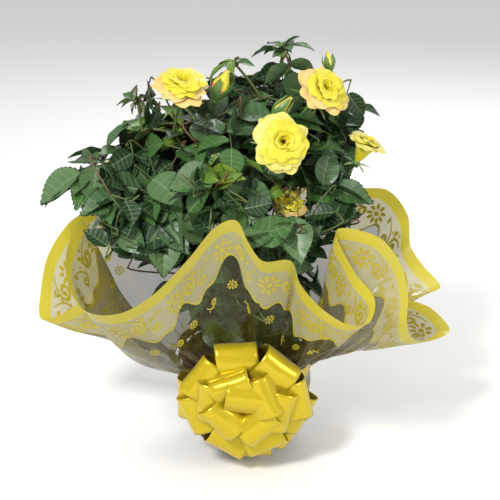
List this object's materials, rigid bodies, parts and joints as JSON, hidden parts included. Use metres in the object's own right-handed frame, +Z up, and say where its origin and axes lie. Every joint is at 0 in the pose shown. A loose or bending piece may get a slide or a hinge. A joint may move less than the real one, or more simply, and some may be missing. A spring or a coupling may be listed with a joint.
{
  "type": "potted rose bush",
  "caption": "Small yellow patio rose in a wicker basket, wrapped in flared printed film and tied in front with a wide pull bow.",
  "frame": {"origin": "centre of the basket's flat underside, which stands on the ground", "axes": "+Z up along the basket's axis, -Y towards the bow and the viewer, +X to the viewer's right"},
  "size_m": [0.3746, 0.2915, 0.368],
  "materials": {
    "wicker": "satin",
    "pot_plastic": "satin",
    "soil": "matte",
    "film": "gloss",
    "ribbon": "gloss",
    "cane_bark": "satin",
    "leaf": "satin",
    "young_leaf": "satin",
    "petal": "satin"
  },
  "bodies": {
    "root": {"basket": "wicker", "bloom_centre": "petal", "bloom_left": "petal", "bloom_low": "petal", "bloom_right": "petal", "bloom_right_top": "petal", "bud_centre": "petal", "bud_left": "petal", "bud_right": "petal", "cane_1": "cane_bark", "cane_2": "cane_bark", "cane_3": "cane_bark", "cane_4": "cane_bark", "cane_5": "cane_bark", "cane_6": "cane_bark", "cane_7": "cane_bark", "cane_8": "cane_bark", "cane_9": "cane_bark", "foliage_back": "leaf", "foliage_back_left": "leaf", "foliage_back_right": "leaf", "foliage_back_top": "leaf", "foliage_front": "leaf", "foliage_front_left": "leaf", "foliage_front_right": "leaf", "foliage_heart": "leaf", "foliage_left": "leaf", "foliage_low_front": "leaf", "foliage_low_left": "leaf", "foliage_low_right": "leaf", "foliage_right": "leaf", "foliage_upper": "leaf", "foliage_upper_left": "leaf", "foliage_upper_right": "leaf", "nursery_pot": "pot_plastic", "potting_soil": "soil", "ribbon_bow": "ribbon", "shoot_arch": "young_leaf", "shoot_left": "young_leaf", "shoot_top": "young_leaf", "stem_of_bloom_centre": "cane_bark", "stem_of_bloom_left": "cane_bark", "stem_of_bloom_right": "cane_bark", "stem_of_bloom_right_top": "cane_bark", "stem_of_bud_left": "cane_bark", "stem_of_bud_right": "cane_bark", "stem_of_shoot_arch": "cane_bark", "stem_of_shoot_left": "cane_bark", "stem_of_shoot_top": "cane_bark", "tie_ribbon": "ribbon", "wrap_back": "film", "wrap_back_left": "film", "wrap_back_right": "film", "wrap_front_left": "film", "wrap_front_right_fold": "film", "wrap_left": "film", "wrap_right": "film", "wrap_right_front": "film", "wrap_right_low": "film", "wrap_skirt": "film"}
  },
  "joints": []
}
